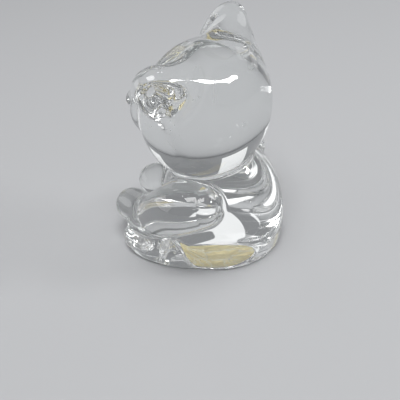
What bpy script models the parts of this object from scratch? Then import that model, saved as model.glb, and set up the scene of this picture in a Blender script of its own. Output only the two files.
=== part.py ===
"""Seated teddy bear figurine of clear lead crystal, as the gathers of glass it is fused from and the foil
label stuck under it.

Metres, +Z up. The bear faces -Y and its left side is +X. The origin is on the ground it sits on, midway
between the tips of its paws and its back. Every gather keeps its full shape, and where two would overlap one
of them is cut by the other, made larger by the seam, so each seam is an even gap.
"""

import math

import bmesh
import bpy
import numpy as np

# Gap along every seam between two pieces
SEAM = 0.0003

# Points around a large, a middling and a small piece, steps between two stations of an arm, rings along an
# ear, and halvings that find a point of an ear's skin
LARGE = 48
MIDDLING = 32
SMALL = 24
ARM_STEPS = 7
EAR_RINGS = 22
HALVINGS = 30

# Torso: an egg of glass on the upright axis, boxier than an ellipsoid, ground flat where it sits
TORSO_RADII = (0.0204, 0.0202, 0.0270)
TORSO_HEIGHT = 0.0100
TORSO_POWER = 2.1

# Head: an egg leaning back, so that the brow slopes and the chin is full; its middle is this far above the
# torso's top and in front of the torso's axis
HEAD_RADII = (0.0200, 0.0193, 0.0222)
HEAD_RISE = 0.0105
HEAD_FORWARD = 0.0020
HEAD_LEAN = math.radians(28)

# Eyes: round dimples pressed in the head, placed by their angles from straight ahead
EYE_RADIUS = 0.0030
EYE_DEPTH = 0.0012
EYE_SIDE = math.radians(25)
EYE_UP = math.radians(22)

# Ears: blunt lobes out to the sides, facing ahead and a little outwards, their middles in the head's skin,
# with a cup pressed in the front
EAR_RADII = (0.0074, 0.0152, 0.0082)
EAR_LEAN = math.radians(51)
EAR_TWIST = math.radians(32)
EAR_FORWARD = 0.0013
CUP_RADII = (0.0050, 0.0055, 0.0040)
CUP_DEPTH = 0.0024
CUP_FROM_TIP = 0.0075

# Fillet of an ear: its reach in front, where the ear leaves the head in a crease, and behind, where the ear
# flows into the head, and the run from front to back over which the reach grows
FILLET_FRONT = 0.0020
FILLET_BACK = 0.0140
FILLET_RUN = 0.0100

# How far from the head's middle an ear's skin starts, well inside the part that the head cuts away
EAR_ROOT = 0.0080

# Muzzle, sunk in the front of the head, and the nose on its tip
MUZZLE_RADII = (0.0090, 0.0110, 0.0088)
MUZZLE_SINK = 0.0050
MUZZLE_DROP = 0.0028
NOSE_RADII = (0.0034, 0.0024, 0.0026)
NOSE_UP = math.radians(24)

# Legs: long flattened lobes with a gap between them, toed in a little and ground flat with the torso
LEG_RADII = (0.0105, 0.0200, 0.0085)
LEG_GAP = 0.0040
LEG_FORWARD = 0.0115
LEG_HEIGHT = 0.0030
LEG_TOE_IN = math.radians(4)

# Arms: the shoulder and the elbow lie in the torso's side, the wrist over the leg's middle, the paw inside it
SHOULDER_INSET = 0.0028
ELBOW_INSET = 0.0026
PAW_INSET = 0.0047

# Foil label, stuck towards the bear's left in a shallow round recess under the torso, so that the bear rests
# on glass
LABEL_RADIUS = 0.0096
LABEL_SIDE = 0.0074
LABEL_THICK = 0.0002
LABEL_LIFT = 0.0001

# Stations of the left arm: side, front and height of each, then the arm's radius there
LEG_SIDE = LEG_GAP / 2 + LEG_RADII[0]
ARM_STATIONS = (
    (TORSO_RADII[0] - SHOULDER_INSET, 0.0024, 0.0244, 0.0063),
    (TORSO_RADII[0] - ELBOW_INSET, -0.0054, 0.0224, 0.0082),
    (LEG_SIDE, -0.0198, 0.0121, 0.0072),
    (LEG_SIDE - PAW_INSET, -0.0310, 0.0104, 0.0057),
)

# Where the row's origin is on the bear: midway between the paws' tips and the back
PAW_TIP = ARM_STATIONS[-1][1] - ARM_STATIONS[-1][3]
BACK = TORSO_RADII[1]
MIDDLE = (PAW_TIP + BACK) / 2

# Colours of the glass and of the foil
GLASS = (0.86, 0.88, 0.88)
GOLD = (0.80, 0.62, 0.25)

# What each power of the way from one station to the next takes of the four stations about it
SMOOTH_PATH = np.array([[0, 2, 0, 0], [-1, 0, 1, 0], [2, -5, 4, -1], [-1, 3, -3, 1]]) / 2


def clear_scene():
    """Takes away whatever the file starts with."""
    for thing in list(bpy.data.objects):
        bpy.data.objects.remove(thing, do_unlink=True)


def glass_material(name):
    """Clear polished crystal."""
    material = bpy.data.materials.new(name)
    material.use_nodes = True
    shader = material.node_tree.nodes["Principled BSDF"]
    shader.inputs["Base Color"].default_value = (*GLASS, 1)
    shader.inputs["Roughness"].default_value = 0.02
    shader.inputs["Metallic"].default_value = 0.0
    shader.inputs["IOR"].default_value = 1.54
    shader.inputs["Transmission Weight"].default_value = 1.0
    return material


def foil_material(name):
    """Bare gold foil."""
    material = bpy.data.materials.new(name)
    material.use_nodes = True
    shader = material.node_tree.nodes["Principled BSDF"]
    shader.inputs["Base Color"].default_value = (*GOLD, 1)
    shader.inputs["Roughness"].default_value = 0.35
    shader.inputs["Metallic"].default_value = 0.9
    return material


def turn_x(angle):
    """Turn about the side-to-side axis, as columns of local axes."""
    c, s = math.cos(angle), math.sin(angle)
    return np.array([[1, 0, 0], [0, c, -s], [0, s, c]])


def turn_z(angle):
    """Turn about the upright axis, as columns of local axes."""
    c, s = math.cos(angle), math.sin(angle)
    return np.array([[c, -s, 0], [s, c, 0], [0, 0, 1]])


def signed_power(values, power):
    """Each value's size raised to a power, with its sign kept."""
    return np.sign(values) * np.abs(values) ** power


def mesh_object(name, points, faces):
    """One object of the scene from points on the bear, moved so that the row's origin is at zero."""
    mesh = bpy.data.meshes.new(name)
    mesh.from_pydata((np.asarray(points) - (0, MIDDLE, 0)).tolist(), [], faces)
    solid = bmesh.new()
    solid.from_mesh(mesh)
    bmesh.ops.recalc_face_normals(solid, faces=solid.faces)
    solid.to_mesh(mesh)
    solid.free()
    for face in mesh.polygons:
        face.use_smooth = True
    thing = bpy.data.objects.new(name, mesh)
    bpy.context.scene.collection.objects.link(thing)
    return thing


def skin(rings, start, end):
    """Points and faces of a closed tube through equal rings, with a point at each end."""
    count, around = len(rings), len(rings[0])
    points = [start, *[p for ring in rings for p in ring], end]
    faces = []
    for k in range(around):
        after = (k + 1) % around
        faces.append((0, 1 + after, 1 + k))
        for i in range(count - 1):
            low, high = 1 + i * around, 1 + (i + 1) * around
            faces.append((low + k, low + after, high + after, high + k))
        top = 1 + (count - 1) * around
        faces.append((top + k, top + after, count * around + 1))
    return points, faces


def egg(name, centre, radii, axes, segments, outline=2.0, profile=2.0, grow=0.0):
    """A closed egg about a centre. Outline is the power of its shape around the last axis, profile the power
    of its shape along that axis; 2 is round and more is boxier."""
    size = np.asarray(radii) + grow
    axes = np.asarray(axes, float)
    turns = np.linspace(0, 2 * math.pi, segments, endpoint=False)
    rise = np.linspace(-math.pi / 2, math.pi / 2, segments // 2 + 1)[1:-1]
    rings = []
    for angle in rise:
        wide = signed_power(math.cos(angle), 2 / profile)
        ring = np.stack(
            [
                size[0] * wide * signed_power(np.cos(turns), 2 / outline),
                size[1] * wide * signed_power(np.sin(turns), 2 / outline),
                np.full(segments, size[2] * signed_power(math.sin(angle), 2 / profile)),
            ],
            axis=1,
        )
        rings.append(ring @ axes.T + centre)
    pole = axes[:, 2] * size[2]
    return mesh_object(name, *skin(rings, centre - pole, centre + pole))


def limb(name, stations, segments, steps):
    """The skin of a ball carried through the stations, growing and shrinking on its way."""
    stations = np.asarray(stations)
    joints = np.vstack([2 * stations[0] - stations[1], stations, 2 * stations[-1] - stations[-2]])
    way = np.linspace(0, 1, steps, endpoint=False)[:, None] ** np.arange(4)
    path = [way @ SMOOTH_PATH @ joints[i : i + 4] for i in range(len(stations) - 1)]
    path = np.vstack([*path, stations[-1]])
    centres, radius = path[:, :3], path[:, 3]
    run = np.gradient(centres, axis=0)
    pace = np.linalg.norm(run, axis=1)
    ahead = run / pace[:, None]
    swell = np.gradient(radius) / pace
    side = np.cross(ahead, (1.0, 0.0, 0.0))
    side /= np.linalg.norm(side, axis=1)[:, None]
    across = np.cross(ahead, side)
    turns = np.linspace(0, 2 * math.pi, segments, endpoint=False)
    circle = np.cos(turns)[None, :, None] * side[:, None] + np.sin(turns)[None, :, None] * across[:, None]
    tilt = np.arcsin(np.clip(-swell, -0.95, 0.95))
    rings = []
    caps = segments // 4
    for angle in np.linspace(-math.pi / 2, tilt[0], caps, endpoint=False)[1:]:
        rings.append(centres[0] + radius[0] * (math.sin(angle) * ahead[0] + math.cos(angle) * circle[0]))
    for k, angle in enumerate(tilt):
        rings.append(centres[k] + radius[k] * (math.sin(angle) * ahead[k] + math.cos(angle) * circle[k]))
    for angle in np.linspace(tilt[-1], math.pi / 2, caps, endpoint=False)[1:]:
        rings.append(centres[-1] + radius[-1] * (math.sin(angle) * ahead[-1] + math.cos(angle) * circle[-1]))
    start = centres[0] - radius[0] * ahead[0]
    end = centres[-1] + radius[-1] * ahead[-1]
    return mesh_object(name, *skin(rings, start, end))


def disc(name, radius, low, high):
    """A flat round plate about the upright line through the label's middle."""
    turns = np.linspace(0, 2 * math.pi, LARGE, endpoint=False)
    flat = np.stack([radius * np.cos(turns), radius * np.sin(turns), np.zeros(LARGE)], axis=1)
    middles = np.array([[LABEL_SIDE, 0, low], [LABEL_SIDE, 0, high]])
    return mesh_object(name, *skin([flat + middle for middle in middles], *middles))


def cut(thing, *cutters):
    """Takes each cutter's shape out of a piece and hides the cutter."""
    for cutter in cutters:
        step = thing.modifiers.new(cutter.name, "BOOLEAN")
        step.operation = "DIFFERENCE"
        step.solver = "EXACT"
        step.object = cutter
        cutter.hide_render = True
        cutter.display_type = "WIRE"


UPRIGHT = np.eye(3)
TORSO_AT = np.array([0, 0, TORSO_HEIGHT])
HEAD_AT = TORSO_AT + (0, -HEAD_FORWARD, TORSO_RADII[2] + HEAD_RISE)
HEAD_AXES = turn_x(-HEAD_LEAN)


def head_reach(out):
    """How far the head's skin is from its middle in one direction."""
    return 1 / np.linalg.norm((HEAD_AXES.T @ out) / HEAD_RADII)


MUZZLE_AT = HEAD_AT + (0, MUZZLE_SINK - head_reach(np.array([0, -1, 0])), -MUZZLE_DROP)


def torso(name, grow=0.0):
    """The egg of the body, before it is ground flat."""
    return egg(name, TORSO_AT, TORSO_RADII, UPRIGHT, LARGE, profile=TORSO_POWER, grow=grow)


def head(name, grow=0.0):
    """The egg of the head, before its eyes are pressed."""
    return egg(name, HEAD_AT, HEAD_RADII, HEAD_AXES, LARGE, grow=grow)


def muzzle(name, grow=0.0):
    """The egg of the muzzle."""
    return egg(name, MUZZLE_AT, MUZZLE_RADII, UPRIGHT, MIDDLING, grow=grow)


def leg(name, side, grow=0.0):
    """One leg, before it is ground flat."""
    at = np.array([side * LEG_SIDE, -LEG_FORWARD, LEG_HEIGHT])
    return egg(name, at, LEG_RADII, turn_z(side * LEG_TOE_IN), MIDDLING, grow=grow)


def ground(name):
    """A block below the ground, much wider than the bear, that takes the underside off flat."""
    wide = 2 * (BACK - PAW_TIP)
    corners = [(x, y, z) for x in (-wide, wide) for y in (-wide, wide) for z in (-wide, 0)]
    faces = [(0, 1, 3, 2), (4, 6, 7, 5), (0, 4, 5, 1), (2, 3, 7, 6), (0, 2, 6, 4), (1, 5, 7, 3)]
    return mesh_object(name, corners, faces)


def eye(name, side):
    """A ball that presses one eye in the head, its middle on the line out of the head's centre."""
    out = np.array(
        [
            side * math.sin(EYE_SIDE) * math.cos(EYE_UP),
            -math.cos(EYE_SIDE) * math.cos(EYE_UP),
            math.sin(EYE_UP),
        ]
    )
    at = HEAD_AT + out * (head_reach(out) + EYE_RADIUS - EYE_DEPTH)
    return egg(name, at, (EYE_RADIUS,) * 3, UPRIGHT, SMALL)


def ear_axes(side):
    """Across the ear, out along it, and its front, as columns."""
    out = np.array([side * math.sin(EAR_LEAN), 0, math.cos(EAR_LEAN)])
    level = np.array([side * math.cos(EAR_LEAN), 0, -math.sin(EAR_LEAN)])
    ahead = np.array([0, -1, 0])
    across = math.cos(EAR_TWIST) * level - math.sin(EAR_TWIST) * ahead
    front = math.cos(EAR_TWIST) * ahead + math.sin(EAR_TWIST) * level
    return np.stack([across, out, front], axis=1)


def gap_to_egg(points, centre, radii, axes):
    """How far points are outside a round egg: their size in radii less one, over that size's slope there."""
    local = (points - centre) @ axes / radii
    size = np.linalg.norm(local, axis=-1)
    return (size - 1) * size / np.linalg.norm(local / radii, axis=-1)


def gap_to_ear(points, at, axes):
    """How far points are outside the head and one ear with the fillet between the two: the lesser of the two
    gaps, less a share that grows as they come to differ by less than the fillet's reach."""
    head_gap = gap_to_egg(points, HEAD_AT, HEAD_RADII, HEAD_AXES)
    ear_gap = gap_to_egg(points, at, EAR_RADII, axes)
    way = np.clip(0.5 + (points[..., 1] - at[1]) / FILLET_RUN, 0, 1)
    reach = FILLET_FRONT + (FILLET_BACK - FILLET_FRONT) * way**2 * (3 - 2 * way)
    overlap = np.maximum(reach - np.abs(head_gap - ear_gap), 0)
    return np.minimum(head_gap, ear_gap) - overlap**2 / (4 * reach)


def ear(name, side):
    """One ear with its fillet, and with the cup taken out of its front. Its rings lie across its long axis from
    inside the head to its tip, and each point of a ring is found between the axis and far outside."""
    axes = ear_axes(side)
    across, out, front = axes.T
    at = HEAD_AT + head_reach(out) * out + EAR_FORWARD * front
    tip = at + EAR_RADII[1] * out
    length = EAR_RADII[1] + head_reach(out) - EAR_ROOT
    fall = np.linspace(0, math.pi / 2, EAR_RINGS + 1)[1:, None]
    middles = tip - length * (1 - np.cos(fall)) * out
    turns = np.linspace(0, 2 * math.pi, MIDDLING, endpoint=False)[:, None]
    spokes = np.cos(turns) * across + np.sin(turns) * front
    inner = np.zeros((EAR_RINGS, MIDDLING, 1))
    outer = np.full(inner.shape, max(HEAD_RADII) + FILLET_BACK)
    for _ in range(HALVINGS):
        trial = (inner + outer) / 2
        inside = gap_to_ear(middles[:, None] + trial * spokes, at, axes)[..., None] < 0
        inner = np.where(inside, trial, inner)
        outer = np.where(inside, outer, trial)
    rings = middles[:, None] + inner * spokes
    solid = mesh_object(name, *skin(rings, tip, middles[-1]))
    cup_out = EAR_RADII[1] - CUP_FROM_TIP
    rise = EAR_RADII[2] * math.sqrt(1 - (cup_out / EAR_RADII[1]) ** 2)
    cup_at = at + cup_out * out + (rise + CUP_RADII[2] - CUP_DEPTH) * front
    cut(solid, egg(name + "_cup", cup_at, CUP_RADII, axes, SMALL))
    return solid


def arm(name, side):
    """One arm from its shoulder to its paw."""
    stations = [(side * x, y, z, r) for x, y, z, r in ARM_STATIONS]
    return limb(name, stations, SMALL, ARM_STEPS)


clear_scene()

recess = disc("label_recess", LABEL_RADIUS + SEAM, -LABEL_RADIUS, LABEL_LIFT + LABEL_THICK + SEAM)
earth = ground("ground_plane")
grown_torso = torso("torso_seat", SEAM)
grown_head = head("head_seat", SEAM)
grown_muzzle = muzzle("muzzle_seat", SEAM)

pieces = {"torso": torso("torso"), "head": head("head"), "muzzle": muzzle("muzzle")}
cut(pieces["torso"], earth, recess)
cut(pieces["head"], grown_torso, eye("left_eye_press", 1), eye("right_eye_press", -1))
cut(pieces["muzzle"], grown_head)

nose_out = np.array([0, -math.cos(NOSE_UP) * MUZZLE_RADII[1], math.sin(NOSE_UP) * MUZZLE_RADII[2]])
pieces["nose"] = egg("nose", MUZZLE_AT + nose_out, NOSE_RADII, UPRIGHT, SMALL)
cut(pieces["nose"], grown_muzzle)

for side, word in ((1, "left"), (-1, "right")):
    pieces[word + "_ear"] = ear(word + "_ear", side)
    cut(pieces[word + "_ear"], grown_head)
    pieces[word + "_leg"] = leg(word + "_leg", side)
    cut(pieces[word + "_leg"], earth, grown_torso)
    pieces[word + "_arm"] = arm(word + "_arm", side)
    cut(pieces[word + "_arm"], grown_torso, grown_head, leg(word + "_leg_seat", side, SEAM))

pieces["label"] = disc("label", LABEL_RADIUS, LABEL_LIFT, LABEL_LIFT + LABEL_THICK)

for name, piece in pieces.items():
    made = foil_material(name + "_foil") if name == "label" else glass_material(name + "_crystal")
    piece.data.materials.append(made)
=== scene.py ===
import math

import bpy
import numpy as np
from mathutils import Matrix, Vector


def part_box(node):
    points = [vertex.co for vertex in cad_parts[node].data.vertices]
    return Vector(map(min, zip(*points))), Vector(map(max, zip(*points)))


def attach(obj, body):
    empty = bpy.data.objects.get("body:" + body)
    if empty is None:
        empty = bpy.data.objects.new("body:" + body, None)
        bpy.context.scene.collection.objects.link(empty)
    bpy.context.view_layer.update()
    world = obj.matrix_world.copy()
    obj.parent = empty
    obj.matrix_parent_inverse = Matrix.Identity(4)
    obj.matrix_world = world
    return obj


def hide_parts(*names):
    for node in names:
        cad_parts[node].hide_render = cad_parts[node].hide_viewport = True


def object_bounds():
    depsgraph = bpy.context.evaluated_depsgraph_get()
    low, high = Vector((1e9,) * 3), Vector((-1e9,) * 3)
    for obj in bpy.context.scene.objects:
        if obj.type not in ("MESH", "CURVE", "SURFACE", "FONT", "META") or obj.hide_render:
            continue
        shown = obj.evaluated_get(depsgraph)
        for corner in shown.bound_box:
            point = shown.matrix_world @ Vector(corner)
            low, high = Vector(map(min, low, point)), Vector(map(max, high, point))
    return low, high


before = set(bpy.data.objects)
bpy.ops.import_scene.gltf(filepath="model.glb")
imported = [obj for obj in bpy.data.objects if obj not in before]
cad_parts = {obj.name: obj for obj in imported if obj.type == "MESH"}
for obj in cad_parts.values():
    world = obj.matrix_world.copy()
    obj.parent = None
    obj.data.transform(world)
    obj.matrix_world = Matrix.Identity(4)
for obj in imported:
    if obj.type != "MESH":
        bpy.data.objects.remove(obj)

# Seated bear of clear crystal, in metres: +Z up, facing -Y, its own left at +X
CAD_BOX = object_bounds()


# Torso. The body is a gather of molten lead crystal pressed to an egg, and every other gather is fused to it
# hot. Its underside is ground flat and polished, with a shallow dish for the label.
TORSO_LOW, TORSO_HIGH = (np.array(corner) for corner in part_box("torso"))
AXIS_Y = (TORSO_LOW[1] + TORSO_HIGH[1]) / 2
TORSO_HALF_HEIGHT = 0.0270
TORSO_RADII = np.array([TORSO_HIGH[0], TORSO_HIGH[1] - AXIS_Y, TORSO_HALF_HEIGHT])
TORSO_AT = np.array([0, AXIS_Y, TORSO_HIGH[2] - TORSO_HALF_HEIGHT])
TORSO_POWER = 2.1
UPRIGHT = np.eye(3)
TINY = 1e-9


def egg(points, at, axes, radii, power=2.0):
    """Distance from an egg's skin, less than zero inside. N is the size of a point in radii: round about the
    last axis, with the power along it. The distance is N - 1 over the length of N's gradient, which is right
    to first order at the skin."""
    a, b, c = np.abs((points - at) @ axes / radii).T + TINY
    around = np.hypot(a, b)
    size = (around**power + c**power) ** (1 / power)
    ring = size ** (1 - power) * around ** (power - 2)
    slope_a = ring * a / radii[0]
    slope_b = ring * b / radii[1]
    slope_c = size ** (1 - power) * c ** (power - 1) / radii[2]
    return (size - 1) / np.sqrt(slope_a**2 + slope_b**2 + slope_c**2)


def torso_field(points):
    """The torso's egg, round about its axis and a little boxy along it."""
    return egg(points, TORSO_AT, UPRIGHT, TORSO_RADII, TORSO_POWER)


# Head. A rounder gather set on the torso while both were soft, leaning back so that the brow slopes. The two
# eyes are dimples pressed in its front with a rounded punch.
HEAD_RADII = np.array([0.0200, 0.0193, 0.0222])
HEAD_RISE = 0.0105
HEAD_FORWARD = 0.0020
HEAD_LEAN = math.radians(28)
HEAD_AT = np.array([0, AXIS_Y - HEAD_FORWARD, TORSO_HIGH[2] + HEAD_RISE])
HEAD_AXES = np.array(Matrix.Rotation(-HEAD_LEAN, 3, "X"))
NECK_BLEND = 0.0016
EYE_RADIUS = 0.0030
EYE_DEPTH = 0.0012
EYE_SIDE = math.radians(25)
EYE_UP = math.radians(22)


def head_field(points):
    """The head's egg, before the eyes are pressed."""
    return egg(points, HEAD_AT, HEAD_AXES, HEAD_RADII)


def head_reach(out):
    """How far the head's skin is from its middle in one direction."""
    return 1 / np.linalg.norm(HEAD_AXES.T @ out / HEAD_RADII)


def eye_field(points):
    """The left eye's punch: a ball whose middle is on a line out of the head's middle."""
    flat = math.cos(EYE_UP)
    out = np.array([math.sin(EYE_SIDE) * flat, -math.cos(EYE_SIDE) * flat, math.sin(EYE_UP)])
    at = HEAD_AT + out * (head_reach(out) + EYE_RADIUS - EYE_DEPTH)
    return np.linalg.norm(points - at, axis=1) - EYE_RADIUS


# Muzzle and nose. The muzzle is a small gather of crystal pressed on to the front of the head while both were
# hot, and the nose a bead of glass dropped on its tip.
MUZZLE_RADII = np.array([0.0090, 0.0110, 0.0088])
MUZZLE_SINK = 0.0050
MUZZLE_DROP = 0.0028
MUZZLE_AT = HEAD_AT + (0, MUZZLE_SINK - head_reach(np.array([0, -1, 0])), -MUZZLE_DROP)
MUZZLE_BLEND = 0.0030
NOSE_RADII = np.array([0.0034, 0.0024, 0.0026])
NOSE_UP = math.radians(24)
NOSE_AT = MUZZLE_AT + (0, -math.cos(NOSE_UP) * MUZZLE_RADII[1], math.sin(NOSE_UP) * MUZZLE_RADII[2])
NOSE_BLEND = 0.0008


def muzzle_field(points):
    """The muzzle's egg."""
    return egg(points, MUZZLE_AT, UPRIGHT, MUZZLE_RADII)


def nose_field(points):
    """The nose's egg."""
    return egg(points, NOSE_AT, UPRIGHT, NOSE_RADII)


# Ears. Two blunt lobes drawn out of small gathers at the sides of the head, each with a cup pressed in its
# front by a rounded tool. They leave the head in a crease in front, and flow into it behind, where the glass
# was smoothed.
EAR_RADII = np.array([0.0074, 0.0152, 0.0082])
EAR_LEAN = math.radians(51)
EAR_TWIST = math.radians(32)
EAR_FORWARD = 0.0013
FILLET_FRONT = 0.0020
FILLET_BACK = 0.0140
FILLET_RUN = 0.0100
ear_out = np.array([math.sin(EAR_LEAN), 0, math.cos(EAR_LEAN)])
ear_level = np.array([math.cos(EAR_LEAN), 0, -math.sin(EAR_LEAN)])
ear_ahead = np.array([0, -1, 0])
ear_across = math.cos(EAR_TWIST) * ear_level - math.sin(EAR_TWIST) * ear_ahead
ear_front = math.cos(EAR_TWIST) * ear_ahead + math.sin(EAR_TWIST) * ear_level
EAR_AXES = np.stack([ear_across, ear_out, ear_front], axis=1)
EAR_AT = HEAD_AT + head_reach(ear_out) * ear_out + EAR_FORWARD * ear_front
CUP_RADII = np.array([0.0050, 0.0055, 0.0040])
CUP_DEPTH = 0.0024
CUP_FROM_TIP = 0.0075


def ear_field(points):
    """The left ear's egg, before its cup is pressed."""
    return egg(points, EAR_AT, EAR_AXES, EAR_RADII)


def ease(way):
    """From 0 to 1 with a level start and end: three times the square of the way less twice its cube."""
    return way**2 * (3 - 2 * way)


def ear_blend(points):
    """How far the ear's fillet reaches: short in front, long behind, where the ear flows into the head."""
    way = np.clip(0.5 + (points[:, 1] - EAR_AT[1]) / FILLET_RUN, 0, 1)
    return FILLET_FRONT + (FILLET_BACK - FILLET_FRONT) * ease(way)


def cup_field(points):
    """The tool that presses the left ear's cup, an egg sunk in the ear's front."""
    out = EAR_RADII[1] - CUP_FROM_TIP
    front = EAR_RADII[2] * math.sqrt(1 - (out / EAR_RADII[1]) ** 2)
    at = EAR_AT + out * ear_out + (front + CUP_RADII[2] - CUP_DEPTH) * ear_front
    return egg(points, at, EAR_AXES, CUP_RADII)


# Legs. Two long flattened lobes of crystal pressed against the torso's front while hot, and ground flat with
# it underneath, so that the bear sits on all three.
LEG_RADII = np.array([0.0105, 0.0200, 0.0085])
LEG_GAP = 0.0040
LEG_FORWARD = 0.0115
LEG_HEIGHT = 0.0030
LEG_TOE_IN = math.radians(4)
LEG_SIDE = LEG_GAP / 2 + LEG_RADII[0]
LEG_AXES = np.array(Matrix.Rotation(LEG_TOE_IN, 3, "Z"))
LEG_AT = np.array([LEG_SIDE, AXIS_Y - LEG_FORWARD, LEG_HEIGHT])
LEG_BLEND = 0.0015


def leg_field(points):
    """The left leg's egg, before it is ground."""
    return egg(points, LEG_AT, LEG_AXES, LEG_RADII)


# Arms. Each is a rod of soft glass laid from the shoulder over the leg, thick at the elbow and drawn to a
# rounded paw. A station of it is its side, front and height there, then its radius.
SHOULDER_INSET = 0.0028
ELBOW_INSET = 0.0026
PAW_INSET = 0.0047
SHOULDER = [TORSO_RADII[0] - SHOULDER_INSET, AXIS_Y + 0.0024, 0.0244, 0.0063]
ELBOW = [TORSO_RADII[0] - ELBOW_INSET, AXIS_Y - 0.0054, 0.0224, 0.0082]
WRIST = [LEG_SIDE, AXIS_Y - 0.0198, 0.0121, 0.0072]
PAW = [LEG_SIDE - PAW_INSET, AXIS_Y - 0.0310, 0.0104, 0.0057]
ARM_STATIONS = np.array([SHOULDER, ELBOW, WRIST, PAW])
ARM_SAMPLES = 24
ARM_BLEND = 0.0018
ARM_REACH = 0.012
FAR = 1.0

# What each power of the way from one station to the next takes of the four stations about it
SMOOTH_PATH = np.array([[0, 2, 0, 0], [-1, 0, 1, 0], [2, -5, 4, -1], [-1, 3, -3, 1]]) / 2


def arm_path(way):
    """The arm's middle and radius at each way along it, 0 at the shoulder and 1 at the paw: the cubic through
    the stations whose slope at a station is half the step between its neighbours."""
    before = 2 * ARM_STATIONS[0] - ARM_STATIONS[1]
    after = 2 * ARM_STATIONS[-1] - ARM_STATIONS[-2]
    joints = np.vstack([before, ARM_STATIONS, after])
    spans = len(ARM_STATIONS) - 1
    span = np.minimum((way * spans).astype(int), spans - 1)
    powers = (way * spans - span)[:, None] ** np.arange(4)
    return np.einsum("np,pj,njc->nc", powers, SMOOTH_PATH, joints[span[:, None] + np.arange(4)])


def arm_field(points):
    """Distance from the left arm: the least, along its path, of the distance to the path less the radius
    there. The best of even samples is refined by the parabola through it and its two neighbours."""
    low = ARM_STATIONS[:, :3].min(axis=0) - ARM_REACH
    high = ARM_STATIONS[:, :3].max(axis=0) + ARM_REACH
    near = np.all((points > low) & (points < high), axis=1)
    close = points[near]
    path = arm_path(np.linspace(0, 1, ARM_SAMPLES))
    gaps = np.stack([np.linalg.norm(close - p[:3], axis=1) - p[3] for p in path])
    best = np.clip(gaps.argmin(axis=0), 1, ARM_SAMPLES - 2)
    before, here, after = (np.take_along_axis(gaps, best[None] + k, 0)[0] for k in (-1, 0, 1))
    shift = 0.5 * (before - after) / np.maximum(before - 2 * here + after, TINY)
    spot = arm_path(np.clip((best + shift) / (ARM_SAMPLES - 1), 0, 1))
    field = np.full(len(points), FAR)
    field[near] = np.linalg.norm(close - spot[:, :3], axis=1) - spot[:, 3]
    return field


# Fused crystal. The gathers run together while they are hot, so the bear is one clear body with soft creases
# where they meet. Each gather is still its own piece here, parted along the creases inside the glass. The
# dish is a hair less deep than the label's top, so that the foil wets the glass.
PRESS_BLEND = 0.0006
GROUND_BLEND = 0.0008
DISH_DEPTH = 0.00027
DISH_ROOM = 0.0003
DISH_EDGE = 0.0008
LABEL_LOW, LABEL_HIGH = (np.array(corner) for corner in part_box("label"))
LABEL_AT = (LABEL_LOW[:2] + LABEL_HIGH[:2]) / 2
LABEL_RADIUS = (LABEL_HIGH[0] - LABEL_LOW[0]) / 2


def blend_min(a, b, reach):
    """The lesser of two fields, with a round fillet where they differ by less than the reach."""
    overlap = np.maximum(reach - np.abs(a - b), 0) / reach
    return np.minimum(a, b) - overlap**2 * reach / 4


def fold(points):
    """Points with the right side laid on the left, since the bear's two sides are alike."""
    return np.abs(points) * (1, 0, 0) + points * (0, 1, 1)


def base_field(points):
    """How far below the ground face a point is; the face rises to a shallow dish over the label."""
    out = np.linalg.norm(points[:, :2] - LABEL_AT, axis=1)
    rim = np.clip((out - LABEL_RADIUS - DISH_ROOM) / DISH_EDGE, 0, 1)
    return DISH_DEPTH * (1 - ease(rim)) - points[:, 2]


def bear_field(points):
    """Distance from the fused bear's skin: the gathers run together, then eyes, cups and base taken off."""
    here = fold(points)
    body = blend_min(torso_field(here), head_field(here), NECK_BLEND)
    body = blend_min(body, muzzle_field(here), MUZZLE_BLEND)
    body = blend_min(body, nose_field(here), NOSE_BLEND)
    body = blend_min(body, ear_field(here), ear_blend(here))
    body = blend_min(body, leg_field(here), LEG_BLEND)
    body = blend_min(body, arm_field(here), ARM_BLEND)
    for tool in (eye_field, cup_field):
        body = -blend_min(-body, tool(here), PRESS_BLEND)
    return -blend_min(-body, -base_field(points), GROUND_BLEND)


# The skin's mesh: a grid finds it, and its points then settle on it and spread evenly
GRID = 0.0005
MARGIN = 4 * GRID
PROBE = 2e-5
FIRST_ROUNDS = 3
EVEN_ROUNDS = 4
LAST_ROUNDS = 2
EVEN_SHARE = 0.5


def settle(points, rounds):
    """Moves points on to the skin, each by its field over the gradient's length along the gradient. Four
    corners of a small tetrahedron give both. Also gives the skin's outward direction at each point."""
    corners = np.array([[1, -1, -1], [-1, -1, 1], [-1, 1, -1], [1, 1, 1]]) * PROBE
    for _ in range(rounds):
        values = np.stack([bear_field(points + corner) for corner in corners])
        slope = values.T @ corners / (4 * PROBE**2)
        steep = np.linalg.norm(slope, axis=1)[:, None] + TINY
        points = points - values.mean(axis=0)[:, None] * slope / steep**2
    return points, slope / steep


def even_out(points, edges, rounds):
    """Slides points half way to the mean of their neighbours, then back on to the skin."""
    ends = np.concatenate([edges, edges[:, ::-1]])
    count = np.bincount(ends[:, 0], minlength=len(points))[:, None]
    for _ in range(rounds):
        sums = [np.bincount(ends[:, 0], points[ends[:, 1], k], len(points)) for k in range(3)]
        middles = np.stack(sums, axis=1) / count
        points, _ = settle(points + EVEN_SHARE * (middles - points), 1)
    return points


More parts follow.
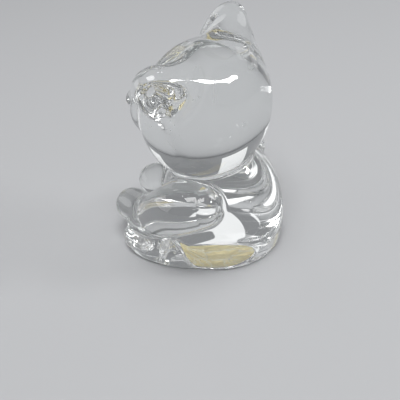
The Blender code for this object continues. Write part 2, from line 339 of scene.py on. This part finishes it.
def skin_of(low, high):
    """Points and four-sided faces of the skin. Each grid cell that the skin crosses has one point, and each
    grid edge that it crosses has one face through the four cells about it."""
    half = np.arange(GRID / 2, high[0] + GRID, GRID)
    sides = np.concatenate([-half[::-1], half])
    fronts, heights = (np.arange(low[k], high[k] + GRID, GRID) for k in (1, 2))
    grid = np.stack(np.meshgrid(sides, fronts, heights, indexing="ij"), axis=-1)
    inside = bear_field(grid.reshape(-1, 3)).reshape(grid.shape[:3]) < 0
    ends = (slice(None, -1), slice(1, None))
    corners = [inside[i, j, k] for i in ends for j in ends for k in ends]
    mixed = np.any(corners, axis=0) & ~np.all(corners, axis=0)
    number = np.full(mixed.shape, -1)
    number[mixed] = np.arange(mixed.sum())
    points = np.array([sides[0], fronts[0], heights[0]]) + (np.argwhere(mixed) + 0.5) * GRID
    faces = []
    for axis in range(3):
        order = (axis, (axis + 1) % 3, (axis + 2) % 3)
        solid, cells = inside.transpose(order), number.transpose(order)
        i, j, k = np.nonzero(solid[:-1] != solid[1:])
        around = [cells[i, j - 1, k - 1], cells[i, j, k - 1], cells[i, j, k], cells[i, j - 1, k]]
        face = np.stack(around, axis=1)
        faces.append(np.where(solid[i, j, k][:, None], face, face[:, ::-1]))
    return points, np.concatenate(faces)


def edges_of(faces):
    """Every side of the faces, once."""
    sides = np.stack([faces, np.roll(faces, -1, axis=1)], axis=-1).reshape(-1, 2)
    return np.unique(np.sort(sides, axis=1), axis=0)


def facets_of(points, quads):
    """Two triangles of each four-sided face, cut along its shorter diagonal."""
    diagonals = np.linalg.norm(points[quads[:, [0, 1]]] - points[quads[:, [2, 3]]], axis=2)
    turned = np.where((diagonals[:, 0] > diagonals[:, 1])[:, None], np.roll(quads, 1, axis=1), quads)
    return np.concatenate([turned[:, [0, 1, 2]], turned[:, [0, 2, 3]]])


SKIN, quads = skin_of(np.array(CAD_BOX[0]) - MARGIN, np.array(CAD_BOX[1]) + MARGIN)
SKIN, _ = settle(SKIN, FIRST_ROUNDS)
SKIN = even_out(SKIN, edges_of(quads), EVEN_ROUNDS)

# The parting: each gather in turn takes the facets that are nearer to it than to those still waiting
FIELDS = {
    "torso": torso_field,
    "head": head_field,
    "muzzle": muzzle_field,
    "nose": nose_field,
    "ear": ear_field,
    "leg": leg_field,
    "arm": arm_field,
}
PARTING_ORDER = ("nose", "muzzle", "ear", "arm", "leg", "head")
PAIRED = ("ear", "arm", "leg")
LEAST_LEVEL = GRID / 20


def part_along(points, facets, level):
    """Cuts facets where the level changes sign, at the point of each edge where it is zero, and gives all the
    points and the facets on the lesser and the greater side."""
    low = level[facets] < 0
    count = low.sum(axis=1)
    cut = (count == 1) | (count == 2)
    crossed = facets[cut]
    alone = (count == 1)[cut]
    first = np.argmax(low[cut] == alone[:, None], axis=1)
    a, b, c = (crossed[np.arange(len(crossed)), (first + k) % 3] for k in range(3))
    sides = np.sort(np.concatenate([np.stack([a, b], axis=1), np.stack([a, c], axis=1)]), axis=1)
    ends, number = np.unique(sides, axis=0, return_inverse=True)
    share = level[ends[:, 0]] / (level[ends[:, 0]] - level[ends[:, 1]])
    new = points[ends[:, 0]] + share[:, None] * (points[ends[:, 1]] - points[ends[:, 0]])
    ab, ac = len(points) + number.reshape(2, -1)
    tip = np.stack([a, ab, ac], axis=1)
    rest = np.concatenate([np.stack([ab, b, c], axis=1), np.stack([ab, c, ac], axis=1)])
    rest_low = np.tile(~alone, 2)
    lesser = np.concatenate([facets[count == 3], tip[alone], rest[rest_low]])
    greater = np.concatenate([facets[count == 0], tip[~alone], rest[~rest_low]])
    return np.concatenate([points, new]), lesser, greater


left_over = facets_of(SKIN, quads)
waiting = list(FIELDS)
PARTED = {}
for gather in PARTING_ORDER:
    waiting.remove(gather)
    folded = fold(SKIN)
    level = FIELDS[gather](folded) - np.min([FIELDS[name](folded) for name in waiting], axis=0)
    level = np.where(level < 0, np.minimum(level, -LEAST_LEVEL), np.maximum(level, LEAST_LEVEL))
    SKIN, own, left_over = part_along(SKIN, left_over, level)
    if gather in PAIRED:
        on_left = SKIN[own, 0].mean(axis=1) > 0
        PARTED["left_" + gather] = own[on_left]
        PARTED["right_" + gather] = own[~on_left]
    else:
        PARTED[gather] = own
PARTED["torso"] = left_over
SKIN, OUTWARD = settle(SKIN, LAST_ROUNDS)

# The finish of the glass; scales are so many cells to the metre
CRYSTAL_IOR = 1.54
CRYSTAL_TINT = (0.985, 0.995, 0.99, 1)
STREAK_TINT = (0.955, 0.975, 0.97, 1)
STREAK_SCALE = 60
STREAK_BEND = 1.5
SMEAR_SCALE = 180
SMEAR_FROM = 0.62
SMEAR_FULL = 0.80
SMEAR_ROUGHNESS = 0.03
RIPPLE_SCALE = 90
RIPPLE_DEPTH = 0.0004
RIPPLE_STRENGTH = 0.05
SCUFF_SCALE = 420
SCUFF_CORE = 0.08
SCUFF_RIM = 0.20
SCUFF_ROUGHNESS = 0.4
WORN_SCALE = 45
WORN_FROM = 0.52
WORN_FULL = 0.58


class Socket:
    """One output of a material's nodes. Sums and products of sockets and numbers add Math nodes."""

    def __init__(self, tree, output=None):
        self.tree = tree
        self.output = output

    def node(self, kind, settings, inputs, output=0):
        """Adds any node: its settings first, then its sockets' values or links, and gives one output."""
        made = self.tree.nodes.new(kind)
        for name, value in settings.items():
            setattr(made, name, value)
        for name, value in inputs.items():
            if isinstance(value, Socket):
                self.tree.links.new(value.output, made.inputs[name])
            else:
                made.inputs[name].default_value = value
        return Socket(self.tree, made.outputs[output] if made.outputs else None)

    def __add__(self, other):
        return self.node("ShaderNodeMath", {"operation": "ADD"}, {0: self, 1: other})

    def __mul__(self, other):
        return self.node("ShaderNodeMath", {"operation": "MULTIPLY"}, {0: self, 1: other})

    __radd__ = __add__
    __rmul__ = __mul__


def start_material(name):
    """An empty material, a socket to add its nodes from, and where things are on the piece."""
    material = bpy.data.materials.new(name)
    material.use_nodes = True
    material.node_tree.nodes.clear()
    tree = Socket(material.node_tree)
    return material, tree, tree.node("ShaderNodeTexCoord", {}, {}, "Object")


def end_material(tree, finish):
    """Joins a shader with the finish's values and links to the material's surface."""
    shader = tree.node("ShaderNodeBsdfPrincipled", {}, finish)
    tree.node("ShaderNodeOutputMaterial", {}, {"Surface": shader})


def noise(tree, place, scale, detail, bend=0.0, output=0):
    """Soft noise about a half, with finer noise added as often as the detail says, and pulled by the bend."""
    waves = {"Vector": place, "Scale": scale, "Detail": detail, "Distortion": bend}
    return tree.node("ShaderNodeTexNoise", {}, waves, output)


def ramp(tree, value, start, end, low=0.0, high=1.0):
    """Goes evenly from low to high while the value goes from start to end, and no further."""
    limits = {"From Min": start, "From Max": end, "To Min": low, "To Max": high}
    return tree.node("ShaderNodeMapRange", {}, {"Value": value, **limits})


def mix(tree, share, first, second):
    """The first colour, with a share of the second in its place."""
    return tree.node("ShaderNodeMix", {"data_type": "RGBA"}, {0: share, 6: first, 7: second}, 2)


def crystal_material(name):
    """Polished lead crystal: clear, with faint streaks from the melt and the long soft ripple of a skin
    polished by fire. Handling leaves a few smears in its gloss, and specks of scuff where it is worn."""
    material, tree, place = start_material(name)
    streak = noise(tree, place, STREAK_SCALE, 3, STREAK_BEND)
    smear = noise(tree, place, SMEAR_SCALE, 4)
    smeared = ramp(tree, smear, SMEAR_FROM, SMEAR_FULL, high=SMEAR_ROUGHNESS)
    ripple = noise(tree, place, RIPPLE_SCALE, 1)
    waves = {"Strength": RIPPLE_STRENGTH, "Distance": RIPPLE_DEPTH, "Height": ripple}
    dot = tree.node("ShaderNodeTexVoronoi", {}, {"Vector": place, "Scale": SCUFF_SCALE})
    scuff = ramp(tree, dot, SCUFF_CORE, SCUFF_RIM, 1.0, 0.0)
    worn = ramp(tree, noise(tree, place, WORN_SCALE, 2), WORN_FROM, WORN_FULL)
    finish = {
        "Base Color": mix(tree, streak, CRYSTAL_TINT, STREAK_TINT),
        "Roughness": smeared + SCUFF_ROUGHNESS * scuff * worn,
        "IOR": CRYSTAL_IOR,
        "Transmission Weight": 1.0,
        "Normal": tree.node("ShaderNodeBump", {}, waves),
    }
    end_material(tree, finish)
    return material


def fused_seam_material(name):
    """The inside of a fused crease, where the glass of two gathers runs on and nothing shows."""
    material, tree, _ = start_material(name)
    end_material(tree, {"Base Color": CRYSTAL_TINT, "Alpha": 0.0})
    return material


def loops_of(edges):
    """The loop that each boundary edge is in: every point takes the least number among those it is joined to,
    until nothing changes."""
    points, ends = np.unique(edges, return_inverse=True)
    ends = ends.reshape(edges.shape)
    least = np.arange(len(points))
    for _ in range(len(points)):
        lower = least.copy()
        np.minimum.at(lower, ends[:, 0], least[ends[:, 1]])
        np.minimum.at(lower, ends[:, 1], least[ends[:, 0]])
        lower = lower[lower]
        if np.array_equal(lower, least):
            break
        least = lower
    return least[ends[:, 0]]


def crystal_piece(node, facets):
    """One gather as a closed body: its facets of the skin, and a fan inside the glass across each crease,
    from the crease's points to their mean."""
    edges = np.concatenate([facets[:, [0, 1]], facets[:, [1, 2]], facets[:, [2, 0]]])
    keys = edges[:, 0] * len(SKIN) + edges[:, 1]
    rim = edges[~np.isin(edges[:, 1] * len(SKIN) + edges[:, 0], keys)]
    loop = np.unique(loops_of(rim), return_inverse=True)[1].reshape(-1)
    middles = np.array([SKIN[rim[loop == k, 0]].mean(axis=0) for k in range(loop.max() + 1)])
    fans = np.stack([rim[:, 1], rim[:, 0], len(SKIN) + loop], axis=1)
    used, corners = np.unique(np.concatenate([facets, fans]), return_inverse=True)
    points = np.concatenate([SKIN, middles])[used]
    mesh = bpy.data.meshes.new(node + "_crystal")
    mesh.from_pydata(points.tolist(), [], corners.reshape(-1, 3).tolist(), shade_flat=False)
    mesh.materials.append(crystal_material(node + "_crystal"))
    mesh.materials.append(fused_seam_material(node + "_fused_seam"))
    mesh.polygons.foreach_set("material_index", np.repeat([0, 1], [len(facets), len(fans)]))
    upward = np.tile([0.0, 0.0, 1.0], (len(middles), 1))
    mesh.normals_split_custom_set_from_vertices(np.concatenate([OUTWARD, upward])[used].tolist())
    piece = bpy.data.objects.new(node + "_crystal", mesh)
    bpy.context.scene.collection.objects.link(piece)
    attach(piece, "root")
    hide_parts(node)


for node, facets in PARTED.items():
    crystal_piece(node, facets)


# Label. A bare round of gold foil on a paper back, stuck in the dish under the torso, so that it wets the
# glass and its gold shows through the side. The sticking left it crinkled.
LABEL_EDGE = 0.0001
LABEL_AROUND = 96
LABEL_RINGS = 12
LABEL_EDGE_POINTS = 7
FOIL_GOLD = (0.96, 0.82, 0.42, 1)
FOIL_PALE = (1.00, 0.95, 0.76, 1)
FOIL_METALLIC = 0.2
FOIL_ROUGHNESS = 0.28
PATCH_SCALE = 220
PATCH_SHARE = 0.5
PATCH_ROUGHNESS = 0.25
WAVE_SCALE = 260
WAVE_REACH = (0.006, 0.006, 0.006)
CREASE_SCALE = 170
# Width and strength of the painted highlight along the foil's creases
CREASE_HIGHLIGHT_WIDTH = 0.09
CREASE_HIGHLIGHT_SHARE = 0.6
CRINKLE_DEPTH = 0.002


def label_disc(name):
    """A round plate: rings from the top's middle out, over a rounded edge and back to the bottom's middle."""
    low, high = LABEL_LOW[2], LABEL_HIGH[2]
    inner = LABEL_RADIUS - LABEL_EDGE
    out = np.linspace(0, inner, LABEL_RINGS)[1:]
    bend = np.linspace(0, math.pi, LABEL_EDGE_POINTS)[1:-1]
    radii = np.concatenate([out, inner + LABEL_EDGE * np.sin(bend), out[::-1]])
    edge = (low + high) / 2 + (high - low) / 2 * np.cos(bend)
    heights = np.concatenate([np.full(len(out), high), edge, np.full(len(out), low)])
    turns = np.linspace(0, 2 * math.pi, LABEL_AROUND, endpoint=False)
    x = LABEL_AT[0] + radii[:, None] * np.cos(turns)
    y = LABEL_AT[1] + radii[:, None] * np.sin(turns)
    z = np.repeat(heights[:, None], LABEL_AROUND, axis=1)
    rings = np.stack([x, y, z], axis=-1).reshape(-1, 3)
    points = np.concatenate([rings, [[*LABEL_AT, high], [*LABEL_AT, low]]])
    ring = np.arange(len(rings)).reshape(z.shape)
    after = np.roll(ring, -1, axis=1)
    sides = np.stack([ring[:-1], ring[1:], after[1:], after[:-1]], axis=-1).reshape(-1, 4)
    top = np.stack([np.full(LABEL_AROUND, ring.size), ring[0], after[0]], axis=1)
    bottom = np.stack([np.full(LABEL_AROUND, ring.size + 1), after[-1], ring[-1]], axis=1)
    faces = [*top.tolist(), *sides.tolist(), *bottom.tolist()]
    mesh = bpy.data.meshes.new(name)
    mesh.from_pydata(points.tolist(), [], faces, shade_flat=False)
    return mesh


def foil_material(name):
    """Gold foil, paler in random patches, with a painted highlight along its creases. The creases part it
    into small facets that each catch the light their own way: cells about scattered points, whose places are
    pulled about by noise."""
    material, tree, place = start_material(name)
    patch = noise(tree, place, PATCH_SCALE, 4)
    wave = noise(tree, place, WAVE_SCALE, 2, output="Color")
    pull = {0: wave, 1: WAVE_REACH, 2: place}
    wavy = tree.node("ShaderNodeVectorMath", {"operation": "MULTIPLY_ADD"}, pull)
    cells = {"Vector": wavy, "Scale": CREASE_SCALE}
    facet = tree.node("ShaderNodeTexVoronoi", {"feature": "F1"}, cells)
    from_edge = tree.node("ShaderNodeTexVoronoi", {"feature": "DISTANCE_TO_EDGE"}, cells)
    # Painted highlight: the colour goes towards the pale gold along the cells' edges, as if the crease ridges
    # caught the light
    crease = ramp(tree, from_edge, 0.0, CREASE_HIGHLIGHT_WIDTH, CREASE_HIGHLIGHT_SHARE, 0.0)
    crinkles = {"Strength": 1.0, "Distance": CRINKLE_DEPTH, "Height": facet}
    finish = {
        "Base Color": mix(tree, PATCH_SHARE * patch + crease, FOIL_GOLD, FOIL_PALE),
        "Roughness": FOIL_ROUGHNESS + PATCH_ROUGHNESS * patch,
        "Metallic": FOIL_METALLIC,
        "Normal": tree.node("ShaderNodeBump", {}, crinkles),
    }
    end_material(tree, finish)
    return material


label_mesh = label_disc("label_foil")
label_mesh.materials.append(foil_material("label_foil"))
label = bpy.data.objects.new("label_foil", label_mesh)
bpy.context.scene.collection.objects.link(label)
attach(label, "root")
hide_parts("label")


# Floor. A plain pale table top, wide enough to fill every view, a hair below the ground face so that the two
# never share a plane.
FLOOR_HALF = 4.0
FLOOR_DROP = 0.0001
FLOOR_COLOUR = (0.50, 0.505, 0.515, 1)
FLOOR_ROUGHNESS = 0.75
SPECK_SCALE = 900
SPECK_ROUGHNESS = 0.1
floor_signs = ((-1, -1), (1, -1), (1, 1), (-1, 1))
floor_corners = [(x * FLOOR_HALF, y * FLOOR_HALF, -FLOOR_DROP) for x, y in floor_signs]
floor_mesh = bpy.data.meshes.new("floor")
floor_mesh.from_pydata(floor_corners, [], [(0, 1, 2, 3)])
floor_material, floor_tree, floor_place = start_material("pale_floor")
floor_speck = noise(floor_tree, floor_place, SPECK_SCALE, 2)
floor_finish = {"Base Color": FLOOR_COLOUR, "Roughness": FLOOR_ROUGHNESS + SPECK_ROUGHNESS * floor_speck}
end_material(floor_tree, floor_finish)
floor_mesh.materials.append(floor_material)
floor = bpy.data.objects.new("floor", floor_mesh)
bpy.context.scene.collection.objects.link(floor)


# Light. A dim grey room, one broad soft panel overhead, a small bright window whose glint is on the head, and
# three paler panels around the table that show in the glass from inside. Each panel has its place, what it
# faces, its width and height, and its power in watts.
ROOM_COLOUR = (0.52, 0.53, 0.55, 1)
ROOM_STRENGTH = 0.45
MID_TORSO = (0, 0, 0.03)
NECK = (0, 0, 0.04)
PANELS = {
    "overhead_panel": ((0.1, 0.1, 0.9), MID_TORSO, 0.5, 0.5, 6.0),
    "side_panel": ((-0.9, 0.3, 0.35), MID_TORSO, 0.3, 0.5, 0.36),
    "window": ((-0.31, 0.76, 0.53), NECK, 0.20, 0.09, 1.6),
    "left_panel": ((-0.62, -0.68, 0.36), MID_TORSO, 0.35, 0.6, 0.46),
    "front_panel": ((0.35, -0.9, 0.3), MID_TORSO, 1.2, 0.5, 2.0),
}


def soft_panel(name, at, faces, wide, high, power):
    """A panel of light at a point, turned to another."""
    lamp = bpy.data.lights.new(name, "AREA")
    lamp.shape = "RECTANGLE"
    lamp.size = wide
    lamp.size_y = high
    lamp.energy = power
    panel = bpy.data.objects.new(name, lamp)
    panel.location = at
    panel.rotation_euler = (Vector(at) - Vector(faces)).to_track_quat("Z", "Y").to_euler()
    bpy.context.scene.collection.objects.link(panel)


for name, panel_values in PANELS.items():
    soft_panel(name, *panel_values)
world = bpy.data.worlds.new("studio")
bpy.context.scene.world = world
world.use_nodes = True
world.node_tree.nodes["Background"].inputs["Color"].default_value = ROOM_COLOUR
world.node_tree.nodes["Background"].inputs["Strength"].default_value = ROOM_STRENGTH


# Camera. It looks down on the bear from behind its left shoulder, rolled a little, as the photograph does.
# The pixel where the head's middle shows in the photograph fixes its place.
PICTURE = 400
VIEW_AZIMUTH = math.radians(121)
VIEW_PITCH = math.radians(37)
VIEW_ROLL = math.radians(8)
FOCAL_PIXELS = 564
HEAD_PIXEL = (205.5, 109)
HEAD_DEPTH = 0.1684
SENSOR = 36
NEAREST = 0.01
level_back = np.array([math.sin(VIEW_AZIMUTH), -math.cos(VIEW_AZIMUTH), 0])
back = math.cos(VIEW_PITCH) * level_back + (0, 0, math.sin(VIEW_PITCH))
level_right = np.cross(-back, (0, 0, 1))
level_right /= np.linalg.norm(level_right)
level_up = np.cross(level_right, -back)
right = math.cos(VIEW_ROLL) * level_right - math.sin(VIEW_ROLL) * level_up
up = math.sin(VIEW_ROLL) * level_right + math.cos(VIEW_ROLL) * level_up
head_right = (HEAD_PIXEL[0] - PICTURE / 2) / FOCAL_PIXELS
head_up = (PICTURE / 2 - HEAD_PIXEL[1]) / FOCAL_PIXELS
camera_at = HEAD_AT - HEAD_DEPTH * (head_right * right + head_up * up - back)
camera_place = np.eye(4)
camera_place[:3] = np.stack([right, up, back, camera_at], axis=1)
lens = bpy.data.cameras.new("camera")
lens.sensor_width = SENSOR
lens.lens = SENSOR * FOCAL_PIXELS / PICTURE
lens.clip_start = NEAREST
camera = bpy.data.objects.new("camera", lens)
camera.matrix_world = Matrix(camera_place.tolist())
bpy.context.scene.collection.objects.link(camera)
bpy.context.scene.camera = camera
bpy.context.scene.view_settings.view_transform = "Standard"

# Light goes in and out of the glass many times before it is spent
GLASS_BOUNCES = 48
cycles = bpy.context.scene.cycles
cycles.max_bounces = GLASS_BOUNCES
cycles.transmission_bounces = GLASS_BOUNCES
cycles.glossy_bounces = GLASS_BOUNCES
cycles.transparent_max_bounces = GLASS_BOUNCES
